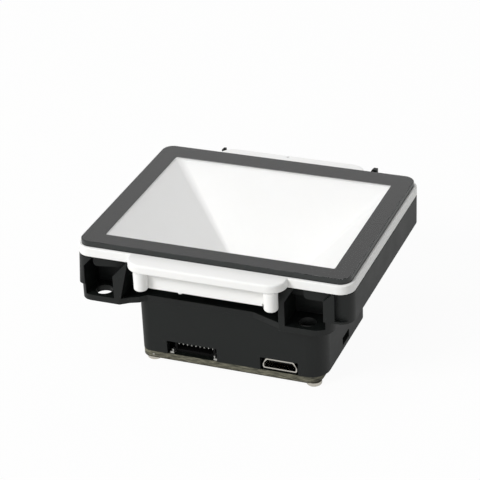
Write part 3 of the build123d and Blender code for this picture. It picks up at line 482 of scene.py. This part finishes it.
# window plate: ground edges, ink on the underside of its border
plate = {
    "width": 62.0,
    "depth": 49.8,
    "corner": 2.6,
    "cornerSteps": 10,
    "bottom": 28.9,
    "top": 30.0,
    "edgeGrind": 0.18,
    "borderSide": 4.6,
    "borderEnd": 4.8,
    "innerCorner": 0.4,
}


def roundedOutline(width, depth, corner, steps):
    # points round a rectangle with rounded corners, anticlockwise from the front right
    points = []
    for cornerX, cornerY, start in ((1, -1, -90), (1, 1, 0), (-1, 1, 90), (-1, -1, 180)):
        centre = Vector((cornerX * (width / 2 - corner), cornerY * (depth / 2 - corner)))
        for i in range(steps + 1):
            angle = math.radians(start + 90 * i / steps)
            points.append(centre + Vector((math.cos(angle), math.sin(angle))) * corner)
    return points


def ringOf(mesh, points, z):
    return [mesh.verts.new((p.x * mm, p.y * mm, z * mm)) for p in points]


def bridge(mesh, low, high, material=0):
    # a band of faces between two rings
    for i in range(len(low)):
        j = (i + 1) % len(low)
        mesh.faces.new((low[i], low[j], high[j], high[i])).material_index = material


def finishMesh(mesh, name):
    bmesh.ops.recalc_face_normals(mesh, faces=mesh.faces)
    data = bpy.data.meshes.new(name)
    mesh.to_mesh(data)
    mesh.free()
    return data


def buildPlate(plate):
    mesh = bmesh.new()
    grind, steps = plate["edgeGrind"], plate["cornerSteps"]
    outer = roundedOutline(plate["width"], plate["depth"], plate["corner"], steps)
    ground = roundedOutline(plate["width"] - 2 * grind, plate["depth"] - 2 * grind,
                            plate["corner"] - grind, steps)
    inner = roundedOutline(plate["width"] - 2 * plate["borderSide"],
                           plate["depth"] - 2 * plate["borderEnd"], plate["innerCorner"], steps)
    top = ringOf(mesh, ground, plate["top"])
    shoulder = ringOf(mesh, outer, plate["top"] - grind)
    foot = ringOf(mesh, outer, plate["bottom"])
    sight = ringOf(mesh, inner, plate["bottom"])
    mesh.faces.new(top)
    bridge(mesh, shoulder, top, 2)
    bridge(mesh, foot, shoulder, 2)
    bridge(mesh, sight, foot, 1)
    mesh.faces.new(list(reversed(sight)))
    return finishMesh(mesh, "windowPlate")


windowPlate = newPiece("window_plate", buildPlate(plate), "module",
                       [floatGlass, printedInk, groundEdge])
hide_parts("window_glass")
print("window plate built")

# lens barrel: a real thread, a knurled head and four key notches
barrel = {
    "x": 3.8,
    "y": -7.5,
    "foot": 9.7,
    "rearSeat": 10.2,
    "rearShoulder": 11.4,
    "headBottom": 13.2,
    "frontSeat": 13.0,
    "top": 14.8,
    "radius": 3.5,
    "headRadius": 3.85,
    "entryRadius": 1.9,
    "rearRadius": 2.4,
    "boreRadius": 1.6,
    "mouthRadius": 2.5,
    "chamfer": 0.25,
    "pitch": 0.5,
    "threadDepth": 0.17,
    "threadRings": 56,
    "knurls": 60,
    "knurlDepth": 0.09,
    "sides": 240,
    "notches": 4,
    "notchAngle": 45.0,
    "notchHalfWidth": 5.6,
    "notchFloor": 13.9,
    "notchRadius": 3.25,
    "notchUndercut": 0.02,
    "notchStep": 0.03,
    "wallAngle": 0.08,
    "clearAngle": 0.3,
    "reliefMm": 0.1,
}


def barrelAngles(barrel):
    # even steps round the barrel, with a close pair at each side of each notch
    edges = []
    for i in range(barrel["notches"]):
        middle = barrel["notchAngle"] + 360 / barrel["notches"] * i
        for side in (-1, 1):
            edges.append(middle + side * barrel["notchHalfWidth"])
    angles = [360 / barrel["sides"] * i for i in range(barrel["sides"])]
    angles = [a for a in angles if all(abs(a - edge) > barrel["clearAngle"] for edge in edges)]
    for edge in edges:
        angles += [edge - barrel["wallAngle"], edge + barrel["wallAngle"]]
    return sorted(angles)


def inNotch(barrel, angle):
    spacing = 360 / barrel["notches"]
    away = (angle - barrel["notchAngle"] + spacing / 2) % spacing - spacing / 2
    return abs(away) < barrel["notchHalfWidth"]


def buildBarrel(barrel):
    mesh = bmesh.new()
    angles = barrelAngles(barrel)
    centre = Vector((barrel["x"], barrel["y"]))

    def turned(reach):
        # one ring, whose radius and height come from the angle
        ring = []
        for angle in angles:
            radius, z = reach(angle)
            turn = math.radians(angle)
            point = centre + Vector((math.cos(turn), math.sin(turn))) * radius
            ring.append(mesh.verts.new((point.x * mm, point.y * mm, z * mm)))
        return ring

    def plain(radius, z):
        return turned(lambda angle: (radius, z))

    def threaded(z):
        # the groove climbs by one pitch a turn
        def reach(angle):
            phase = (z / barrel["pitch"] - angle / 360) % 1.0
            return barrel["radius"] - barrel["threadDepth"] * (1 - abs(2 * phase - 1)), z
        return turned(reach)

    def knurled(z, notchZ):
        def reach(angle):
            wave = 0.5 - 0.5 * math.cos(math.radians(angle * barrel["knurls"]))
            radius = barrel["headRadius"] - barrel["knurlDepth"] * wave
            return radius, notchZ if inNotch(barrel, angle) else z
        return turned(reach)

    def notched(radius, z):
        return turned(lambda angle: (radius, barrel["notchFloor"] if inNotch(barrel, angle) else z))

    top, foot, cut = barrel["top"], barrel["foot"], barrel["chamfer"]
    rings = [plain(barrel["entryRadius"], foot), plain(barrel["radius"] - cut, foot)]
    first, last = foot + cut, barrel["headBottom"] - barrel["reliefMm"]
    for i in range(barrel["threadRings"] + 1):
        rings.append(threaded(first + (last - first) * i / barrel["threadRings"]))
    rings.append(plain(barrel["radius"] - barrel["threadDepth"], barrel["headBottom"]))
    rings.append(plain(barrel["headRadius"] - cut / 2, barrel["headBottom"]))
    rings.append(knurled(barrel["headBottom"] + cut / 2, barrel["headBottom"] + cut / 2))
    rings.append(knurled(top - cut, barrel["notchFloor"] - barrel["notchUndercut"]))
    rings.append(notched(barrel["headRadius"] - cut, top))
    rings.append(notched(barrel["notchRadius"] + barrel["notchStep"], top))
    rings.append(plain(barrel["notchRadius"], top))
    rings.append(plain(barrel["mouthRadius"], top))
    rings.append(plain(barrel["mouthRadius"], barrel["frontSeat"]))
    rings.append(plain(barrel["boreRadius"], barrel["frontSeat"]))
    rings.append(plain(barrel["boreRadius"], barrel["rearShoulder"]))
    rings.append(plain(barrel["rearRadius"], barrel["rearShoulder"]))
    rings.append(plain(barrel["rearRadius"], barrel["rearSeat"]))
    rings.append(plain(barrel["entryRadius"], barrel["rearSeat"]))
    for low, high in zip(rings, rings[1:] + rings[:1]):
        bridge(mesh, low, high)
    return finishMesh(mesh, "lensBarrel")


threadedBarrel = newPiece("threaded_barrel", buildBarrel(barrel), "focus_barrel",
                          [blackAnodised], 30)
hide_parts("lens_barrel")
print("lens barrel turned")

# solder on the main board: heaps round feet and tails above, joints and test pads below
solder = {
    "boardTop": 2.6,
    "boardFoot": 1.0,
    "steps": 3,
    "corner": 0.06,
    "dotSteps": 5,
    "dotCore": (0.1, 0.1, 0.05),
    # how far a heap spreads at each share of its height
    "fillet": ((1.0, 0.0), (0.5, 0.22), (0.2, 0.6), (0.0, 1.0)),
    "bead": ((1.0, 0.0), (0.92, 0.3), (0.65, 0.7), (0.3, 0.95)),
    "tabFeet": {"x": (-11.775, -1.325), "y": -20.5, "width": 0.85, "depth": 1.6, "spread": 0.22,
                "height": 0.3},
    "shellFeet": {"x": (11.02, 16.62), "y": -18.5, "width": 1.2, "depth": 1.6, "spread": 0.3,
                  "height": 0.28},
    "pinTails": {"first": -10.55, "pitch": 1.0, "count": 9, "y": -15.85, "width": 0.3,
                 "depth": 0.7, "spread": 0.14, "height": 0.2},
    "joints": {"radius": 0.55, "height": 0.45,
               "places": ((-5.0, -2.6), (-5.0, 2.4), (9.5, -4.0), (9.5, -9.0), (16.2, 2.0),
                          (19.4, 2.0), (-1.9, -18.4), (-11.2, -18.4))},
    "testPads": {"radius": 0.5, "height": 0.04, "bevel": 0.02, "first": (-14.0, -6.5),
                 "pitch": 1.9, "count": 7},
}


def mound(mesh, x, y, z, width, depth, corner, profile, steps, material=0):
    # a low heap on a board: the profile lists how far out and how high each ring stands
    rings = []
    for grow, rise in profile:
        outline = roundedOutline(width + 2 * grow, depth + 2 * grow, corner + grow, steps)
        rings.append(ringOf(mesh, [p + Vector((x, y)) for p in outline], z + rise))
    for low, high in zip(rings, rings[1:]):
        bridge(mesh, low, high, material)
    for ends in (list(reversed(rings[0])), rings[-1]):
        mesh.faces.new(ends).material_index = material


def buildSolder(solder):
    mesh = bmesh.new()

    def heap(x, y, foot):
        profile = [(spread * foot["spread"], rise * foot["height"])
                   for spread, rise in solder["fillet"]]
        mound(mesh, x, y, solder["boardTop"], foot["width"], foot["depth"], solder["corner"], profile,
              solder["steps"])

    for feet in (solder["tabFeet"], solder["shellFeet"]):
        for x in feet["x"]:
            heap(x, feet["y"], feet)
    tails = solder["pinTails"]
    for i in range(tails["count"]):
        heap(tails["first"] + tails["pitch"] * i, tails["y"], tails)
    joints = solder["joints"]
    for x, y in joints["places"]:
        profile = [(spread * joints["radius"], -rise * joints["height"])
                   for spread, rise in solder["bead"]]
        mound(mesh, x, y, solder["boardFoot"], *solder["dotCore"], profile, solder["dotSteps"])
    pads = solder["testPads"]
    profile = [(pads["radius"], 0.0), (pads["radius"] - pads["bevel"], -pads["height"])]
    for i in range(pads["count"]):
        mound(mesh, pads["first"][0] + pads["pitch"] * i, pads["first"][1], solder["boardFoot"],
              *solder["dotCore"], profile, solder["dotSteps"])
    return finishMesh(mesh, "boardSolder")


# solder: tin alloy that has flowed, bright and a little rippled
flowedSolder = metal("flowedSolder", {
    "colour": "#c2c1bc", "tone": "#9c9b95", "roughness": 0.34, "spread": 0.1, "lineMm": 0.25,
    "lineStretch": (1, 1, 1), "lineStrength": 0.35, "patchMm": 0.7, "edgeMm": 0.03,
})
newPiece("board_solder", buildSolder(solder), "module", [flowedSolder], 50)
print("solder laid")

# chip parts on the board's underside, lower than the screw heads
underParts = {
    "boardFoot": 1.0,
    "bodyHeight": 0.5,
    "endShare": 0.24,
    "endProud": 0.02,
    "bevel": 0.06,
    "drawIn": 0.05,
    "cornerSteps": 2,
    "sizes": {"large": (2.0, 1.25), "small": (1.6, 0.8)},
    "places": (("large", -7.5, -13.0, 0), ("large", -7.5, -10.6, 0), ("small", -3.6, -12.4, 1),
               ("small", -1.9, -12.4, 1), ("small", 1.2, -9.8, 0), ("small", 1.2, -8.4, 0),
               ("large", 5.4, -14.2, 1), ("small", 7.6, -14.2, 1), ("small", 12.6, -12.0, 0),
               ("small", 12.6, -10.6, 0), ("large", 17.4, -9.6, 1), ("small", 14.2, -3.6, 1),
               ("small", 4.4, -1.2, 0), ("small", 4.4, 0.6, 0), ("large", -9.2, 1.0, 1)),
}


def buildUnderParts(parts):
    mesh = bmesh.new()
    height, proud, bevel = parts["bodyHeight"], parts["endProud"], parts["bevel"]
    for size, x, y, turned in parts["places"]:
        length, width = parts["sizes"][size]
        end = length * parts["endShare"]
        spans = ((0.0, length - 2 * end, width, height, 0),
                 (-(length - end) / 2, end, width + 2 * proud, height + proud, 1),
                 ((length - end) / 2, end, width + 2 * proud, height + proud, 1))
        for shift, spanLength, spanWidth, spanHeight, material in spans:
            profile = [(0.0, 0.0), (0.0, bevel - spanHeight), (-parts["drawIn"], -spanHeight)]
            across = (spanWidth, spanLength) if turned else (spanLength, spanWidth)
            place = (x, y + shift) if turned else (x + shift, y)
            mound(mesh, *place, parts["boardFoot"], *across, bevel, profile, parts["cornerSteps"],
                  material)
    return finishMesh(mesh, "undersideParts")


newPiece("underside_parts", buildUnderParts(underParts), "module",
         [firedCeramic, flowedSolder], 40)
print("underside parts placed")

# the tinned end of a copper lug, which shows in the board's front edge
lug = {
    "x": -16.1,
    "low": 1.56,
    "high": 1.96,
    "halfWidth": 0.28,
    "face": -21.8,
    "proud": 0.04,
    "sides": 20,
    # share of the width and share of the height above the board's edge, ring by ring
    "profile": ((1.0, 0.0), (0.95, 0.7), (0.75, 1.0)),
}


def buildLug(lug):
    mesh = bmesh.new()
    middle, half = (lug["low"] + lug["high"]) / 2, (lug["high"] - lug["low"]) / 2
    rings = []
    for share, out in lug["profile"]:
        ring = []
        for i in range(lug["sides"]):
            turn = 2 * math.pi * i / lug["sides"]
            x = lug["x"] + math.cos(turn) * lug["halfWidth"] * share
            y = lug["face"] - out * lug["proud"]
            z = middle + math.sin(turn) * half * share
            ring.append(mesh.verts.new((x * mm, y * mm, z * mm)))
        rings.append(ring)
    for low, high in zip(rings, rings[1:]):
        bridge(mesh, low, high)
    mesh.faces.new(rings[0])
    mesh.faces.new(rings[-1])
    return finishMesh(mesh, "boardLug")


newPiece("board_lug", buildLug(lug), "module", [flowedSolder], 50)
print("board lug placed")

# room: pale floor, white surround and soft lamps
room = {
    "floorHalf": 3.0,
    "floorColour": "#e9e9e7",
    "floorWhite": 0.95,
    "floorGloss": 0.48,
    "fill": 0.3,
}


def buildFloor(room):
    material, tree, output = startMaterial("paleStudioFloor")
    shade = addNode(tree, "ShaderNodeBsdfDiffuse", {"Color": fromHex(room["floorColour"])})
    white = addNode(tree, "ShaderNodeEmission", {"Color": (1, 1, 1, 1), "Strength": 1.0})
    path = addNode(tree, "ShaderNodeLightPath")
    seen = addNode(tree, "ShaderNodeMath", {}, {0: path.outputs["Is Camera Ray"],
                                                1: path.outputs["Is Transmission Ray"]},
                   operation="MAXIMUM")
    direct = addNode(tree, "ShaderNodeMath", {1: room["floorWhite"]}, {0: seen.outputs["Value"]},
                     operation="MULTIPLY")
    share = addNode(tree, "ShaderNodeMath", {1: room["floorGloss"]},
                    {0: path.outputs["Is Glossy Ray"], 2: direct.outputs["Value"]},
                    operation="MULTIPLY_ADD")
    lit = addNode(tree, "ShaderNodeMixShader", {},
                  {0: share.outputs["Value"], 1: shade.outputs["BSDF"], 2: white.outputs["Emission"]})
    # from below, the floor isn't in the way
    clear = addNode(tree, "ShaderNodeBsdfTransparent")
    below = addNode(tree, "ShaderNodeNewGeometry").outputs["Backfacing"]
    mixed = addNode(tree, "ShaderNodeMixShader", {},
                    {0: below, 1: lit.outputs["Shader"], 2: clear.outputs["BSDF"]})
    tree.links.new(mixed.outputs["Shader"], output.inputs["Surface"])
    half = room["floorHalf"]
    mesh = bpy.data.meshes.new("studioFloor")
    mesh.from_pydata([(-half, -half, 0), (half, -half, 0), (half, half, 0), (-half, half, 0)], [],
                     [(0, 1, 2, 3)])
    mesh.materials.append(material)
    floor = bpy.data.objects.new("studioFloor", mesh)
    bpy.context.scene.collection.objects.link(floor)


def buildSurround(room):
    world = bpy.data.worlds.new("whiteSurround")
    world.use_nodes = True
    tree = world.node_tree
    tree.nodes.clear()
    path = addNode(tree, "ShaderNodeLightPath")
    seen = addNode(tree, "ShaderNodeMath", {}, {0: path.outputs["Is Camera Ray"],
                                                1: path.outputs["Is Glossy Ray"]},
                   operation="MAXIMUM")
    seen = addNode(tree, "ShaderNodeMath", {}, {0: seen.outputs["Value"],
                                                1: path.outputs["Is Transmission Ray"]},
                   operation="MAXIMUM")
    strength = addNode(tree, "ShaderNodeMapRange", {"To Min": room["fill"], "To Max": 1.0},
                       {"Value": seen.outputs["Value"]})
    light = addNode(tree, "ShaderNodeBackground", {"Color": (1, 1, 1, 1)},
                    {"Strength": strength.outputs["Result"]})
    output = addNode(tree, "ShaderNodeOutputWorld")
    tree.links.new(light.outputs["Background"], output.inputs["Surface"])
    bpy.context.scene.world = world


lampAim = Vector((0, 0, 0.02))
lamps = [
    {"name": "keyLamp", "from": (-0.62, -0.78, 0.75), "size": 0.5, "power": 11.2},
    {"name": "topLamp", "from": (-0.25, 0.0, 1.0), "size": 0.6, "power": 2.0},
    {"name": "sideLamp", "from": (0.8, 0.3, 0.5), "size": 0.5, "power": 0.3},
    {"name": "backLamp", "from": (0.1, 0.9, 0.5), "size": 0.5, "power": 1.2},
]


def addLamp(lamp):
    data = bpy.data.lights.new(lamp["name"], "AREA")
    data.shape = "DISK"
    data.size = lamp["size"]
    data.energy = lamp["power"]
    lightObject = bpy.data.objects.new(lamp["name"], data)
    place = Vector(lamp["from"])
    lightObject.location = place
    lightObject.rotation_mode = "QUATERNION"
    lightObject.rotation_quaternion = (place - lampAim).to_track_quat("Z", "Y")
    lightObject.visible_glossy = False
    bpy.context.scene.collection.objects.link(lightObject)


buildFloor(room)
buildSurround(room)
for lamp in lamps:
    addLamp(lamp)
bpy.context.scene.view_settings.view_transform = "Standard"
print("room lit")
